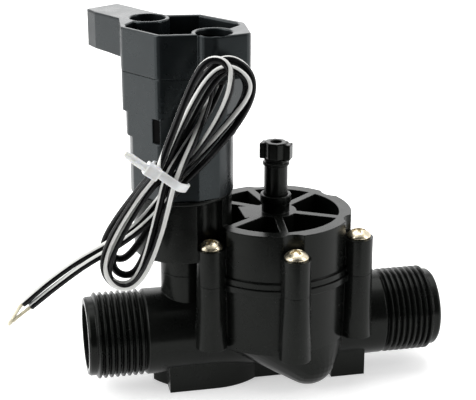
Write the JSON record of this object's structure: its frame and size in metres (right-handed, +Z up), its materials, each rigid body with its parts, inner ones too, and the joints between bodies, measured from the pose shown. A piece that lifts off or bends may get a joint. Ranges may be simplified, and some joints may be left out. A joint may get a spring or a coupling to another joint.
{
  "type": "solenoid valve",
  "caption": "In-line diaphragm valve with male threaded pipe ends, a ribbed bonnet with flow-control stem, an upright solenoid pilot with lever cap, and a tied hank of striped lead wire.",
  "frame": {"origin": "on the resting face of the keel, straight below the flow-control stem", "axes": "X along the pipe with the outlet at -X, Y across the pipe, Z up"},
  "size_m": [0.1689, 0.0817, 0.1407],
  "materials": {
    "body_plastic": "satin black moulded plastic",
    "solenoid_plastic": "satin blue-black moulded plastic",
    "screw_plating": "bright plated steel with a warm tint",
    "rubber": "black rubber",
    "inner_plastic": "off-white moulded plastic",
    "steel": "plain steel",
    "tube_brass": "drawn brass",
    "copper": "bare copper",
    "potting": "poured black resin",
    "wire_cover": "black insulation with a white stripe",
    "nylon": "natural translucent nylon"
  },
  "bodies": {
    "valve": {"valve_body": "body_plastic", "bonnet": "body_plastic", "bonnet_screws": "screw_plating", "diaphragm": "rubber", "diaphragm_spring": "steel", "port_o_ring": "rubber", "stem_gland": "body_plastic"},
    "diaphragm_group": {"seat_washer": "rubber", "diaphragm_support": "inner_plastic", "pressure_plate": "inner_plastic", "centre_bolt": "steel"},
    "stem_seal": {"stem_o_ring": "rubber"},
    "stem": {"flow_stem": "body_plastic", "flow_handle": "body_plastic"},
    "solenoid": {"solenoid_base": "body_plastic", "solenoid_o_ring": "rubber", "core_tube": "tube_brass", "fixed_core": "steel", "plunger_spring": "steel", "coil_bobbin": "inner_plastic", "coil_winding": "copper", "flux_frame": "steel", "flux_washer": "steel", "solenoid_shell": "solenoid_plastic", "potting_fill": "potting", "solenoid_cap": "solenoid_plastic", "lead_grommet": "rubber", "lead_a_start": "wire_cover", "lead_a_hank": "wire_cover", "lead_a_end": "wire_cover", "lead_b_start": "wire_cover", "lead_b_hank": "wire_cover", "lead_b_end": "wire_cover", "lead_tips": "copper", "cable_tie": "nylon"},
    "plunger": {"plunger": "steel", "plunger_seal": "rubber"}
  },
  "joints": [
    {"name": "diaphragm_lift", "type": "slide", "parent": "valve", "child": "diaphragm_group", "axis": [0, 0, 1], "range_m": [0, 0.005], "stiffness_N_per_m": 600, "springref_m": -0.004, "deforming": ["diaphragm", "diaphragm_spring"]},
    {"name": "stem_travel", "type": "slide", "parent": "valve", "child": "stem_seal", "axis": [0, 0, 1], "range_m": [-0.008, 0]},
    {"name": "handle_turn", "type": "hinge", "parent": "stem_seal", "child": "stem", "pos_m": [0, 0, 0.0878], "axis": [0, 0, 1], "range_deg": [-720, 0]},
    {"name": "bleed_turn", "type": "hinge", "parent": "valve", "child": "solenoid", "pos_m": [-0.036, 0, 0.0775], "axis": [0, 0, 1], "range_deg": [-90, 0]},
    {"name": "plunger_lift", "type": "slide", "parent": "solenoid", "child": "plunger", "axis": [0, 0, 1], "range_m": [0, 0.002], "stiffness_N_per_m": 300, "springref_m": -0.003, "deforming": ["plunger_spring"]}
  ],
  "couplings": [
    {"joint": "handle_turn", "follows": "stem_travel", "rad_per_m": 1570.8}
  ]
}
